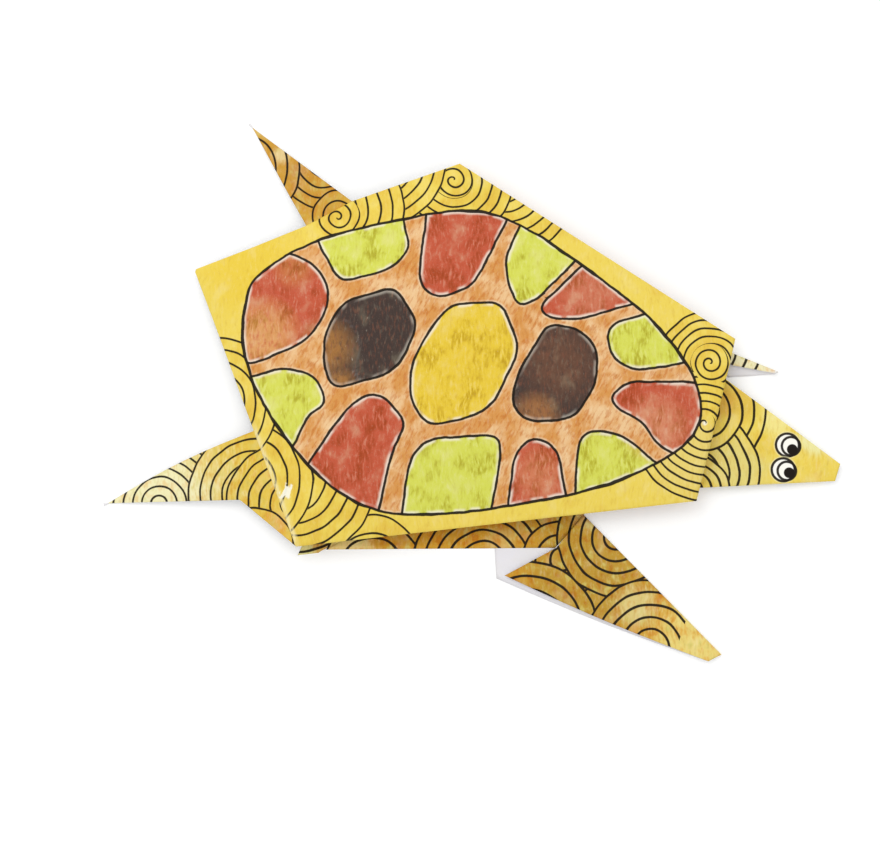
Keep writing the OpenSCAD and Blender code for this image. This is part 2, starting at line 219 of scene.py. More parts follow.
HEAD_RINGS = (
    Rings(152, 5, 18, 3.4),
    Rings(156, -12, 17.4, 2.9),
    Rings(155, -19, 12, 2.55),
    Rings(152, 5, 11.2, 3.4),
)

# The printed oval on the shell passes through these places, from the tail's left side round
OVAL_MARKS = (
    (16.5, -2), (19, 7), (30, 19), (50, 31.5), (72, 41.5), (90, 40.5), (112, 33.5), (130, 26), (145, 15),
    (151, 3), (146, -9), (130, -23.5), (108, -36), (88, -45), (70, -49.5), (52, -45), (34, -33), (21, -18),
)

# Scutes, each with its pencil and corners. The outer ones run past the oval, which trims them.
SCUTES = (
    ("red", (8, 13), (24, 14), (33, 12.5), (39.5, 6), (39.5, -4), (36, -11), (23, -21), (8, -20)),
    ("lime", (31, 19.5), (41, 9.5), (54, 17.5), (57.5, 25), (53, 31.5), (50, 45), (25, 30)),
    ("red", (57, 45), (59, 34), (62.5, 16), (69, 13), (77.5, 19.5), (79, 27), (82, 48)),
    ("lime", (86, 46), (84, 32), (85.5, 26), (91.5, 18), (96, 21), (106, 42)),
    ("red", (108, 40), (97.5, 20), (101, 17.5), (109, 19.5), (126, 31.5), (122, 40)),
    ("lime", (133, 31), (120, 23), (118, 18.5), (122.5, 11.5), (130, 11), (145, 19), (142, 29)),
    ("red", (154, 14), (146, 13), (128, 7), (124.5, 1.5), (127.5, -1.5), (135.5, -2.5), (142, -8), (154, -9)),
    ("lime", (119.5, -13), (123, -9), (131, -8), (147, -14), (137, -29), (124.5, -32)),
    ("red", (103.5, -22), (107, -16), (115, -17.5), (123, -33), (107, -42)),
    ("lime", (75.5, -33), (78.5, -26), (97, -19), (99.8, -23), (102.5, -44), (90, -52), (79, -54)),
    ("red", (47.5, -46), (53, -28), (57, -20), (62.5, -18), (72, -23.5), (70, -32), (72, -54), (50, -54)),
    ("lime", (18, -25), (25, -24), (33, -18.5), (43, -18.5), (48.5, -25), (44, -30), (42.5, -42), (28, -44)),
    ("dark", (41.5, -6), (43.5, 4), (56.5, 13), (66, 5), (65.5, -6), (62.5, -12), (49, -20.5), (44.5, -16)),
    ("yellow", (73, 12.5), (87, 18), (96, 6), (93.5, -11), (88, -17), (77.5, -22.5), (71, -17.5), (68, -9),
     (69, 1)),
    ("dark", (101.5, 16.5), (111.5, 17), (117.5, 13), (119.5, 3), (116.5, -8), (104, -13), (98, -9),
     (97.5, 0)),
)

# A round place of another colour: mostly another pencil, and on the border also painted shade and painted
# light. It fades out towards its reach, at this rate on the scutes.
PATCH_FADE = 1.6
Patch = namedtuple("Patch", "x y reach code share", defaults=(0.9,))

SCUTE_PATCHES = (
    Patch(43, -10, 10, "#A8743C"),
    Patch(50, -19, 6, "#A8743C"),
    Patch(106, -10, 8, "#A06C40"),
    Patch(108, 6, 14, "#7A523C", 0.6),
    Patch(24, -12, 13, "#DDA264"),
    Patch(27, 10, 7, "#C8844A", 0.6),
    Patch(140, -3, 11, "#D68A66"),
    Patch(110, 28, 10, "#D38A68", 0.5),
    Patch(112, -26, 9, "#D68860", 0.7),
)
MARGIN_PATCHES = (
    Patch(16, 4, 20, "#EACB44"),
    Patch(152, -10, 18, "#E9D274"),
    Patch(153.2, 0.6, 1.2, "#FBF8E6", 0.9),
)
BACK_LEG_PATCHES = (
    Patch(2, -70, 40, "#F1EAB8", 1.0),
    Patch(45, -63.5, 6, "#DFA842"),
    Patch(18, 38, 34, "#CE9A38", 1.0),
    Patch(19, 37, 4, "#BF7F2A", 0.7),
    Patch(13, 40, 4, "#E9D49A", 0.8),
)
BORDER_PENCIL_SHADE_AND_LIGHT_PATCHES = (
    # This first, darker patch is partly pencil and partly painted shade where the front leg leaves the shell
    Patch(134, -52, 30, "#BE9534", 1.0),
    Patch(172, -59, 22, "#E9D277", 1.0),
    Patch(150, -54, 9, "#DCC67C", 1.0),
    Patch(108, -48, 6, "#DDB868", 0.7),
    # Painted light: this pale patch lifts the strip where the shell's shadow falls on it
    Patch(66, -61.5, 11, "#EFD286", 1.0),
    Patch(54, -68, 7, "#EBE096", 1.0),
    Patch(161, 22, 22, "#F1E9BC", 1.0),
    Patch(170, 23, 5, "#F0EEE8", 1.0),
)
HEAD_PATCHES = (
    Patch(166, -8, 14, "#E3D37C", 0.9),
    Patch(161, 11, 8, "#E0BC4E", 0.7),
    Patch(173, 9, 7, "#F4E790"),
    Patch(185, 7, 7, "#EFEAA6"),
    Patch(171, 1, 5, "#E8C848", 0.7),
    Patch(156, 9, 7, "#DFAC42", 0.7),
    Patch(189, -4, 7, "#EACD54", 0.7),
)

# Eyes, from the tail corner: outer circle, inner white and pupil, each x, y and radius
EYES = (
    ((177.9, 3.1, 3.3), (179, 3.1, 2.65), (179.6, 2.3, 1.55)),
    ((178.8, -4.1, 3.3), (179.9, -4.1, 2.65), (180.7, -4.4, 1.55)),
)

# Stage, in metres: the lamp's place and half the floor's width. The floor's own light brings it up to white
LAMP_AT = (-0.55, 0.42, 0.85)
FLOOR_HALF = 3
FLOOR_GLOW = 0.16
WHITE = (1, 1, 1, 1)

# Where the middle of the picture falls on the table, in millimetres from the frame's origin
PICTURE_MIDDLE = Vector((-14.2, -10.6, 0))


def linear(code):
    """An sRGB hex value as the linear colour that the shader takes."""
    parts = [int(code[i:i + 2], 16) / 255 for i in (1, 3, 5)]
    return tuple(p / 12.92 if p <= 0.04045 else ((p + 0.055) / 1.055) ** 2.4 for p in parts) + (1.0,)


def colour(code, name, about):
    return bpy.props.FloatVectorProperty(
        name=name, description=about, default=linear(code), size=4, subtype="COLOR", min=0, max=1)


def length(default, name, about):
    return bpy.props.FloatProperty(name=name, description=about, default=default * MM, unit="LENGTH", min=0)


class TurtleSizes(bpy.types.PropertyGroup):
    """Sizes of the folded sheet that a user would change."""
    paper: length(0.2, "Paper", "Thickness of the sheet")
    rim: length(5.5, "Rim", "Height of the shell's folded edges above the table")
    dome: length(8, "Dome", "Rise of the shell above its edges")
    bend: length(0.7, "Bend", "Radius at which the paper turns at a fold")
    wave: length(0.22, "Wave", "Height of the paper's unevenness")
    line: length(0.36, "Line", "Half the width of a printed line")


class TurtleColours(bpy.types.PropertyGroup):
    """Pencils, ink and paper; the border's ochre and the paper's grey tone are partly painted shade."""
    margin: colour("#EDD35A", "Margin", "Yellow pencil on the shell's margin and the head")
    ring: colour("#E6C34A", "Rings", "Deeper yellow pencil between the rings")
    leg: colour("#E3C34E", "Back legs", "Gold pencil on the back legs")
    # The border's ochre is partly its pencil and partly painted shade: it is set darker for the strip and
    # front legs that lie under the shell's edge.
    border: colour("#D29A2A", "Border", "Ochre pencil on the border and the front legs")
    ground: colour("#D99850", "Ground", "Orange pencil between the scutes")
    ground_pale: colour("#EABB84", "Pale ground", "Thin orange pencil between the scutes")
    red: colour("#C55A3E", "Red", "Red scutes")
    lime: colour("#D6DA58", "Lime", "Green scutes")
    yellow: colour("#E8C83C", "Yellow", "Yellow scute")
    dark: colour("#443732", "Dark", "Dark scutes")
    ink: colour("#1A130C", "Ink", "Printed line")
    # The bare paper is white; its grey and violet tone here is partly painted shade
    paper: colour("#EAE8EC", "Paper", "Bare side of the sheet")


class TurtleStage(bpy.types.PropertyGroup):
    """Camera and light."""
    elevation: bpy.props.FloatProperty(
        name="Elevation", description="Camera's height above the table", default=math.radians(83),
        subtype="ANGLE")
    distance: length(800, "Distance", "Camera to the turtle")
    view_width: length(253.8, "View width", "Width of the picture at the turtle")
    air: bpy.props.FloatProperty(
        name="Air", description="Strength of the even light from all round", default=0.9, min=0)
    lamp: bpy.props.FloatProperty(
        name="Lamp", description="Power of the soft lamp", default=2.4, min=0, unit="POWER")
    lamp_size: length(700, "Lamp size", "Side of the soft lamp")


def mix(a, b, share):
    return a + (b - a) * share


def left_of(way):
    return Vector((-way.y, way.x))


def at(place, z):
    return Vector((place.x, place.y, z))


ALONG_LEFT = LEFT_CORNER.normalized()
ALONG_RIGHT = RIGHT_CORNER.normalized()
WAY_LEFT = (FRONT_LEFT - LEFT_CORNER).normalized()
WAY_RIGHT = (FRONT_RIGHT - RIGHT_CORNER).normalized()
INTO_LEFT = -left_of(WAY_LEFT)
INTO_RIGHT = left_of(WAY_RIGHT)
LEFT_LEG_START = ALONG_LEFT * LEFT_LEG_FROM
LEFT_LEG_END = ALONG_LEFT * (LEFT_LEG_FROM + LEFT_LEG_WIDTH) + left_of(ALONG_LEFT) * LEFT_SWELL
RIGHT_LEG_START = ALONG_RIGHT * RIGHT_LEG_FROM
CREASE_TOP = mix(RIGHT_CORNER, FRONT_RIGHT, LEG_CREASE_AT)
CREASE_END = CREASE_TOP - INTO_RIGHT * BORDER_FRONT - WAY_RIGHT * CREASE_LEAN
RIGHT_BORDER = RIGHT_CORNER - INTO_RIGHT * BORDER_BACK + WAY_RIGHT * (TAB_LENGTH + BORDER_BACK)
UNDER_TOP = CREASE_TOP - WAY_RIGHT * FORE_UNDER_RUN + INTO_RIGHT * UNDER_TUCK
LEFT_BORDER = (
    LEFT_CORNER + INTO_LEFT * LEFT_BORDER_IN + WAY_LEFT * LEFT_BORDER_START,
    FRONT_LEFT + INTO_LEFT * LEFT_BORDER_IN - WAY_LEFT * LEFT_BORDER_END,
)
NECK_RIGHT = Vector((FRONT_RIGHT.x, -NECK_WIDTH / 2))
NECK_LEFT = Vector((FRONT_LEFT.x, NECK_WIDTH / 2))


def edge_stations(rim):
    """The shell's right and left edges as two lists of places that face each other."""
    def tail_z(place, corner):
        return mix(TAIL_Z, rim, min(1, place.length / corner.length))

    right = [Vector((0, -TIP_WIDTH / 2, TAIL_Z))]
    right += [at(p, tail_z(p, RIGHT_CORNER))
              for p in (RIGHT_LEG_START / 2, RIGHT_LEG_START, mix(RIGHT_LEG_START, RIGHT_CORNER, 0.5))]
    right += [at(mix(RIGHT_CORNER, FRONT_RIGHT, s), rim) for s in RIGHT_SHARES]
    left = [Vector((0, TIP_WIDTH / 2, TAIL_Z))]
    left += [at(p, tail_z(p, LEFT_CORNER))
             for p in (LEFT_LEG_START / 2, LEFT_LEG_START, LEFT_LEG_END, mix(LEFT_LEG_END, LEFT_CORNER, 0.5))]
    left += [at(mix(LEFT_CORNER, FRONT_LEFT, s), rim) for s in LEFT_SHARES]
    return right, left


def crest_rise(u, dome):
    if u < CREST:
        return dome * (1 - (1 - u / CREST) ** 2)
    return mix(dome, FRONT_RISE, ((u - CREST) / (1 - CREST)) ** 2)


def unevenness(place, height):
    """A slow rise and fall of hand-folded paper, the same on every run."""
    spot = Vector((place.x, place.y, 0))
    broad = noise.noise(spot / BROAD_WAVE)
    fine = noise.noise(spot / FINE_WAVE + FINE_SLICE)
    return height * (broad + FINE_SHARE * fine)


class Folder:
    """Lays the sheet's layers into one mesh in millimetres, each a grid that is moved onto its fold lines."""

    def __init__(self, sizes):
        self.mesh = bmesh.new()
        self.paper = sizes.paper / MM
        self.rim = sizes.rim / MM
        self.dome = sizes.dome / MM
        self.bend = sizes.bend / MM
        self.wave = sizes.wave / MM
        # Middle of a layer that lies on the table, and height of a layer that lies over another
        self.low = self.paper / 2
        self.lift = 3 * self.paper
        self.right, self.left = edge_stations(self.rim)

    def lay(self, along, across, place, slot, reverse_up=False):
        """Adds one layer of along by across cells: place(u, s) gives the place at each share of them."""
        made = bmesh.ops.create_grid(self.mesh, x_segments=along, y_segments=across, size=0.5)
        corners = made["verts"]
        for corner in corners:
            u = min(1, max(0, corner.co.x + 0.5))
            s = min(1, max(0, corner.co.y + 0.5))
            corner.co = place(u, s)
        faces = list({face for corner in corners for face in corner.link_faces})
        upward = sum(face.calc_area() * (face.normal_update() or face.normal.z) for face in faces) > 0
        if upward == reverse_up:
            bmesh.ops.reverse_faces(self.mesh, faces=faces)
        for face in faces:
            face.material_index = slot
            face.smooth = True

    def shell_place(self, u, s):
        """A place on the shell, rounded down where the paper turns under along its edges."""
        steps = len(self.right) - 1
        i = min(int(u * steps), steps - 1)
        right = mix(self.right[i], self.right[i + 1], u * steps - i)
        left = mix(self.left[i], self.left[i + 1], u * steps - i)
        width = (left - right).length
        s = self.eased(s, width)
        place = mix(right, left, s)
        arch = 1 - abs(2 * s - 1) ** ARCH_SQUARE
        inward = min(s, 1 - s) * width
        forward = (1 - u) * (FRONT_LEFT.x - LEFT_CORNER.x)
        calm = min(1, inward / CALM_SIDE, forward / CALM_FRONT)
        place.z += crest_rise(u, self.dome) * arch + unevenness(place, self.wave) * calm
        place.z -= self.turned(min(inward, forward))
        return place

    def eased(self, s, width):
        """Brings the outer tenth of the columns close to the edge, so that the bend there is round."""
        near = min(EDGE_MOST, EDGE_BENDS * self.bend / max(width, 1))
        share = min(s, 1 - s)
        if share < EDGE_COLUMNS:
            eased = near * (share / EDGE_COLUMNS) ** 2
        else:
            eased = mix(near, 0.5, (share - EDGE_COLUMNS) / (0.5 - EDGE_COLUMNS))
        return eased if s < 0.5 else 1 - eased

    def turned(self, inward):
        """How far the paper has turned down at this distance inside a fold."""
        short = max(0, 1 - inward / self.bend)
        return self.bend * BEND_DROP * (1 - math.sqrt(max(0, 1 - short * short)))


def line_through(*places):
    """A row through places that lie at equal shares along it."""
    def place(u):
        i = min(int(u * (len(places) - 1)), len(places) - 2)
        return mix(places[i], places[i + 1], u * (len(places) - 1) - i)
    return place


def rows_place(*rows):
    """A layer through several rows, each given as a function of the share along it."""
    def place(u, s):
        i = min(int(s * (len(rows) - 1)), len(rows) - 2)
        return mix(rows[i](u), rows[i + 1](u), s * (len(rows) - 1) - i)
    return place


PRINT_SHELL, PRINT_LEG, PRINT_BORDER, PRINT_HEAD, BARE = range(5)


def fold_shell(folder):
    folder.lay(180, 110, folder.shell_place, PRINT_SHELL)


def fold_sides(folder):
    """Each side turns in under the shell, then comes back out flat on the table."""
    low = folder.low
    tab = RIGHT_CORNER - INTO_RIGHT * TAB_OUT
    right_out = [at(tab + WAY_RIGHT * run, low) for run in (0, TAB_LENGTH)]
    right_out += [at(mix(RIGHT_BORDER, CREASE_END, s), low + BORDER_RISE * s) for s in (0, 1 / 3, 2 / 3, 1)]
    left_out = [at(place, low) for place in LEFT_BORDER]
    under_leg = CREASE_TOP + (CREASE_TOP - CREASE_END) * CREASE_PAST
    sides = (
        (RIGHT_CORNER, FRONT_RIGHT, WAY_RIGHT, INTO_RIGHT, RIGHT_CORNER, under_leg, right_out, BORDER_RISE),
        (LEFT_CORNER, FRONT_LEFT, WAY_LEFT, INTO_LEFT, *LEFT_BORDER, left_out, 0),
    )
    for back, front, way, inward, flat_back, flat_front, out, rise in sides:
        inner = (back + way * SIDE_MITRE_BACK + inward * SIDE_FOLD_IN,
                 front - way * SIDE_MITRE_FRONT + inward * SIDE_FOLD_IN)
        hem = inward * folder.bend * HEM_IN
        rim_z = folder.rim - folder.bend * BEND_DROP
        rim = line_through(at(back + hem, rim_z), at(front + hem, rim_z))
        fold = line_through(*(at(place, SIDE_FOLD_Z) for place in inner))
        flat = line_through(at(mix(flat_back, inner[0], BORDER_FLAT), low), at(flat_front, low + rise))
        folder.lay(60, 16, rows_place(rim, fold), PRINT_BORDER, reverse_up=True)
        folder.lay(60, 24, rows_place(fold, flat, line_through(*out)), PRINT_BORDER)


def fold_fore_leg(folder):
    """The right front leg: a printed layer over a bare one, joined along the leg's front fold."""
    low, lift = folder.low, folder.lift
    way = (FORE_TIP - CREASE_TOP).normalized()
    past = -left_of(way) * FORE_UNDER - way * FORE_UNDER_BACK

    def lower_edge(u):
        return mix(FORE_BACK, FORE_TIP_LOW, u) - Vector((0, FORE_SWELL * math.sin(math.pi * u)))

    def printed(u, s):
        top = at(mix(CREASE_TOP, FORE_TIP, u), lift + low)
        end = at(lower_edge(u), 2 * lift)
        lean = mix(at(CREASE_END, 2 * lift), mix(top, end, 0.5), min(1, u / FORE_ROOT))
        place = rows_place(lambda u: top, lambda u: lean, lambda u: end)(u, s)
        place.z += unevenness(place, folder.wave) * math.sin(math.pi * u) * s
        return place

    def bare(u, s):
        front = mix(CREASE_TOP, FORE_TIP, u)
        risen = min(1, max(0, u - UNDER_FLAT_TO) / (UNDER_JOINED_AT - UNDER_FLAT_TO))
        top = at(mix(UNDER_TOP, front, min(1, u / FORE_ROOT)), mix(low, lift + low, risen))
        place = mix(top, at(lower_edge(u) + past * (1 - u), low), s)
        place.z = mix(top.z, low, min(1, s / UNDER_DOWN_BY))
        return place

    folder.lay(72, 26, printed, PRINT_BORDER)
    folder.lay(72, 10, bare, PRINT_BORDER, reverse_up=True)


def fold_far_leg(folder):
    """The left front leg, of which only the tip shows past the front fold."""
    low, lift = folder.low, folder.lift
    root = LEFT_BORDER[1] - WAY_LEFT * FAR_ROOT_BACK
    out = FRONT_LEFT + Vector((FAR_AHEAD, -FAR_INSET))
    end = FAR_TIP - Vector((TIP_WIDTH, TIP_WIDTH))

    def leg(depth, z):
        def place(u, s):
            fold = mix(root, out, u * 2) if u < 0.5 else mix(out, FAR_TIP, u * 2 - 1)
            free = fold - Vector((0, depth)) if u < 0.5 else mix(out - Vector((0, depth)), end, u * 2 - 1)
            return at(mix(fold, free, s), mix(lift + low, z, s))
        return place

    folder.lay(30, 6, leg(FAR_PRINT, 2 * lift), PRINT_BORDER)
    folder.lay(30, 6, leg(FAR_BARE, low), PRINT_BORDER, reverse_up=True)


def fold_back_legs(folder):
    """The back legs carry on from the shell past the edges that meet at the tail."""
    low = folder.low

    def leg(start, end, tip, heel, bow=0.0):
        back = (mix(start.xy, end.xy, 0.5) - tip).normalized()
        aside = (start.xy - end.xy).normalized()
        blunt = left_of(back) * TIP_WIDTH / 2

        def place(u, s):
            far = min(1, max(0, u - LEG_TUCKED) / (1 - LEG_TUCKED))
            outer = mix(start.xy, tip - blunt, far) + aside * bow * math.sin(math.pi * far)
            if far < KNEE:
                inner = mix(end.xy, heel, far / KNEE)
            else:
                inner = mix(heel, tip + blunt, (far - KNEE) / (1 - KNEE))
            tuck = back * max(0, 1 - u / LEG_TUCKED) * LEG_TUCK
            spot = mix(outer, inner, s) + tuck
            z = mix(mix(start.z, end.z, s) - folder.bend * BEND_DROP, low, far ** LEG_FALL)
            hump = LEG_RISE * math.sin(math.pi * far) * math.sin(math.pi * s)
            return at(spot, z + hump + unevenness(at(spot, 0), folder.wave) * math.sin(math.pi * far))
        return place

    mid_heel = mix(LEFT_LEG_START, LEFT_TIP, KNEE)
    left_leg = leg(folder.left[3], folder.left[2], LEFT_TIP, mid_heel)
    right_leg = leg(folder.right[2], folder.right[4], RIGHT_TIP, RIGHT_HEEL, RIGHT_LEG_BOW)
    folder.lay(60, 24, left_leg, PRINT_LEG)
    folder.lay(70, 40, right_leg, PRINT_LEG)


def fold_head(folder):
    """A pleat runs back under the front fold, and the head comes out of it with its sides tucked in."""
    skew = Vector((-PLEAT_DEPTH, PLEAT_SKEW))
    deep_right, deep_left = NECK_RIGHT + skew, NECK_LEFT + skew
    neck_z = PLEAT_Z - NECK_DROP
    snout = [Vector((SNOUT_X, side * SNOUT_WIDTH / 2)) for side in (-1, 1)]

    def pleat(u, s):
        front = folder.shell_place(1, u)
        return mix(front, at(mix(deep_right, deep_left, u), PLEAT_Z), s)

    def head(u, s):
        if u < HEAD_HIDDEN:
            share = u / HEAD_HIDDEN
            ends = mix(deep_right, NECK_RIGHT, share), mix(deep_left, NECK_LEFT, share)
            z = mix(PLEAT_Z, neck_z, share)
        else:
            share = (u - HEAD_HIDDEN) / (1 - HEAD_HIDDEN)
            ends = mix(NECK_RIGHT, snout[0], share), mix(NECK_LEFT, snout[1], share)
            z = mix(neck_z, SNOUT_Z, share)
        width = (ends[1] - ends[0]).length
        s = folder.eased(s, width)
        inward = min(s, 1 - s) * width
        spot = mix(ends[0], ends[1], s)
        return at(spot, z - folder.turned(inward) + 0.5 * unevenness(at(spot, 0), folder.wave))

    def flap(side):
        def place(u, s):
            neck = NECK_RIGHT if side < 0 else NECK_LEFT
            edge = mix(neck, snout[0 if side < 0 else 1], u * FLAP_END)
            z = mix(neck_z, SNOUT_Z, u * FLAP_END)
            under = z - 4 * folder.paper
            spot = Vector((edge.x, mix(edge.y, side * TIP_WIDTH / 2, s)))
            return at(spot, mix(z - folder.bend * HEM_IN, under, min(1, s * 2)))
        return place

    folder.lay(100, 8, pleat, PRINT_BORDER, reverse_up=True)
    folder.lay(80, 60, head, PRINT_HEAD)
    for side in (-1, 1):
        folder.lay(40, 12, flap(side), PRINT_HEAD, reverse_up=True)


def spline(points, steps):
    """A smooth closed line through the points."""
    count = len(points)
    line = []
    for i in range(count):
        a, b, c, d = (Vector(points[(i + k) % count]) for k in (-1, 0, 1, 2))
        for t in (k / steps for k in range(steps)):
            line.append(0.5 * (2 * b + (c - a) * t + (2 * a - 5 * b + 4 * c - d) * t ** 2
                               + (3 * b - a - 3 * c + d) * t ** 3))
    return line


def rounded(corners, reach, steps=5):
    """An outline with each corner rounded off over reach millimetres of its two sides."""
    line = []
    count = len(corners)
    for i in range(count):
        before, corner, after = (Vector(corners[(i + k) % count]) for k in (-1, 0, 1))
        start = mix(corner, before, min(0.45, reach / (before - corner).length))
        end = mix(corner, after, min(0.45, reach / (after - corner).length))
        for t in (k / steps for k in range(steps + 1)):
            line.append(mix(mix(start, corner, t), mix(corner, end, t), t))
    return line


def signed_distance(spots, outline):
    """Distance from each spot to a closed outline, negative inside it."""
    a = np.array(outline)
    b = np.roll(a, -1, axis=0)
    nearest = np.full(len(spots), np.inf)
    inside = np.zeros(len(spots), bool)
    for p, q in zip(a, b):
        side, from_p = q - p, spots - p
        share = np.clip(from_p @ side / max(side @ side, 1e-9), 0, 1)
        nearest = np.minimum(nearest, np.linalg.norm(from_p - share[:, None] * side, axis=1))
        crosses = (p[1] > spots[:, 1]) != (q[1] > spots[:, 1])
        x = p[0] + (spots[:, 1] - p[1]) * side[0] / (side[1] or 1e-9)
        inside ^= crosses & (spots[:, 0] < x)
    return np.where(inside, -nearest, nearest)


def store(mesh, name, kind, values):
    layer = mesh.attributes.new(name, kind, "POINT")
    layer.data.foreach_set("color" if kind == "FLOAT_COLOR" else "value", values.astype(np.float32).ravel())


def mark_print(mesh, colours):
    """Stores how far each place lies from the printed oval and the nearest scute, and its two pencils."""
    spots = np.array([corner.co.xy for corner in mesh.vertices]) / MM + np.array(MIDDLE - PRINT_SHIFT)
    scutes = np.array([signed_distance(spots, rounded(corners, 4)) for _, *corners in SCUTES])
    nearest = scutes.argmin(axis=0)
    pencils = np.array([getattr(colours, pencil) for pencil, *_ in SCUTES])
    darks = np.array([float(pencil == "dark") for pencil, *_ in SCUTES])
    second, share = np.ones((len(spots), 4)), np.zeros(len(spots))
    for patch in SCUTE_PATCHES:
        away = np.linalg.norm(spots - (patch.x, patch.y), axis=1) / patch.reach
        near = patch.share * np.clip(PATCH_FADE * (1 - away), 0, 1)
        second[near > share] = linear(patch.code)
        share = np.maximum(share, near)
    store(mesh, "to_oval", "FLOAT", signed_distance(spots, spline(OVAL_MARKS, 8)))
    store(mesh, "to_scute", "FLOAT", scutes.min(axis=0))
    store(mesh, "pencil", "FLOAT_COLOR", pencils[nearest])
    store(mesh, "second_pencil", "FLOAT_COLOR", second)
    store(mesh, "second_share", "FLOAT", share)
    store(mesh, "dark", "FLOAT", darks[nearest])


def node(tree, kind, inputs=(), **settings):
    """Adds a node, sets it up and joins or fills its inputs, given as pairs of socket and value."""
    made = tree.nodes.new(kind)
    for name, value in settings.items():
        setattr(made, name, value)
    for socket, value in inputs:
        if isinstance(value, bpy.types.NodeSocket):
            tree.links.new(value, made.inputs[socket])
        else:
            made.inputs[socket].default_value = value
    return made


def blended(tree, share, under, over, mode="MIX"):
    """The colour between two colours at a share."""
    made = node(tree, "ShaderNodeMix", [(0, share), (6, under), (7, over)], data_type="RGBA", blend_type=mode)
    return made.outputs[2]


def reckon(tree, operation, *values):
    made = node(tree, "ShaderNodeMath", list(enumerate(values)), operation=operation)
    return made.outputs[0]


def ramp(tree, value, start, end, low=0.0, high=1.0):
    """A soft step from low to high as the value goes from start to end."""
    made = node(tree, "ShaderNodeMapRange", [(0, value), (1, start), (2, end), (3, low), (4, high)],
                interpolation_type="SMOOTHSTEP")
    return made.outputs[0]


def grain(tree, place, across, along=None, detail=2.0, turn=0.0):
    """Noise with marks of this width and length in millimetres, turned this far from the Y axis."""
    size = (across, along or across, across)
    marks = node(tree, "ShaderNodeMapping", [(0, place), (2, (0, 0, turn)), (3, size)], vector_type="TEXTURE")
    made = node(tree, "ShaderNodeTexNoise", [("Vector", marks.outputs[0]), ("Scale", 1.0),
                                             ("Detail", detail), ("Roughness", 0.55)])
    return made.outputs[0]


def plan_place(tree, shift=Vector((0, 0))):
    """Place on the sheet in millimetres from the tail corner, flattened to the plan."""
    source = node(tree, "ShaderNodeTexCoord").outputs["Object"]
    moved = node(tree, "ShaderNodeMapping", [
        (0, source), (1, (MIDDLE.x - shift.x, MIDDLE.y - shift.y, 0)), (3, (1 / MM, 1 / MM, 0))])
    return moved.outputs[0]


def by_hand(tree, place, sway=0.7):
    """The same place, swayed a little so that lines look hand drawn."""
    cloud = node(tree, "ShaderNodeTexNoise", [("Vector", place), ("Scale", 1 / 9), ("Detail", 1.0)])
    centred = node(tree, "ShaderNodeVectorMath", [(0, cloud.outputs[1]), (1, (0.5, 0.5, 0.5))],
                   operation="SUBTRACT").outputs[0]
    flat = node(tree, "ShaderNodeVectorMath", [(0, centred), (1, (2 * sway, 2 * sway, 0))],
                operation="MULTIPLY").outputs[0]
    return node(tree, "ShaderNodeVectorMath", [(0, place), (1, flat)], operation="ADD").outputs[0]


def ring_lines(tree, place, rings):
    """Distance to the nearest ring's line, and where any rings lie. Later rings cover earlier ones."""
    nearest, covered = 9.0, 0.0
    for ring in rings:
        away = distance_to(tree, place, ring.x, ring.y)
        inward = reckon(tree, "SUBTRACT", ring.reach, away)
        wound = inward
        if ring.coil:
            offset = node(tree, "ShaderNodeVectorMath", [(0, place), (1, (ring.x, ring.y, 0))],
                          operation="SUBTRACT").outputs[0]
            parts = node(tree, "ShaderNodeSeparateXYZ", [(0, offset)]).outputs
            turn = reckon(tree, "ARCTAN2", parts[1], parts[0])
            wound = reckon(tree, "MULTIPLY_ADD", turn, ring.gap / math.tau, inward)
        line = reckon(tree, "PINGPONG", wound, ring.gap / 2)
        inside = reckon(tree, "GREATER_THAN", inward, -0.3)
        if ring.side:
            across = node(tree, "ShaderNodeVectorMath", [(0, place), (1, (ring.side[0], ring.side[1], 0))],
                          operation="DOT_PRODUCT").outputs["Value"]
            inside = reckon(tree, "MULTIPLY", inside, reckon(tree, "GREATER_THAN", across, ring.side[2]))
        nearest = node(tree, "ShaderNodeMix", [(0, inside), (2, nearest), (3, line)]).outputs[0]
        covered = reckon(tree, "MAXIMUM", inside, covered)
    return nearest, covered


# A scuff on the folded edge, through the pencil to the white paper: its middle, and how far and ragged it is
RUBBED_AT = (45.3, -53.6)
RUBBED_REACH = 5.6
RUBBED_RAGGED = 8

# The rings on the shell's margin and the back legs are drawn with a thinner line, at this share
RING_LINE = 0.8

# The pencil strokes and the picture's upright run at this angle to the Y axis
STROKE_TURN = math.radians(17.6)

Marks = namedtuple("Marks", "strokes tooth patches flecks")


def pencil_marks(tree, place):
    """Shares for one layer of pencil: its strokes, the paper's tooth, uneven pressure and bare flecks.

    Real strokes and tooth are about a third as wide. They are drawn this coarse so that they show.
    """
    swayed = by_hand(tree, place, 1.6)
    patches = grain(tree, place, 6, 8, 3.0)
    flecks = ramp(tree, grain(tree, swayed, 0.5, 1.8, 2.0, STROKE_TURN), 0.66, 0.76)
    return Marks(
        strokes=grain(tree, swayed, 0.8, 3.2, 3.0, STROKE_TURN),
        tooth=grain(tree, place, 0.4, 0.6, 2.0),
        patches=patches,
        flecks=reckon(tree, "MULTIPLY", flecks, ramp(tree, patches, 0.42, 0.6)))


def paper_shader(tree, tint, rise, roughness):
    """The matte surface of paper under pencil, with the strokes' slight relief."""
    bump = node(tree, "ShaderNodeBump", [("Height", rise), ("Strength", 0.25), ("Distance", 0.00006)])
    surface = node(tree, "ShaderNodeBsdfPrincipled", [
        ("Base Color", tint), ("Roughness", roughness), ("Specular IOR Level", 0.15),
        ("Normal", bump.outputs[0])])
    out = node(tree, "ShaderNodeOutputMaterial")
    tree.links.new(surface.outputs[0], out.inputs[0])


def new_material(name):
    material = bpy.data.materials.new(name)
    material.use_nodes = True
    material.node_tree.nodes.clear()
    return material, material.node_tree


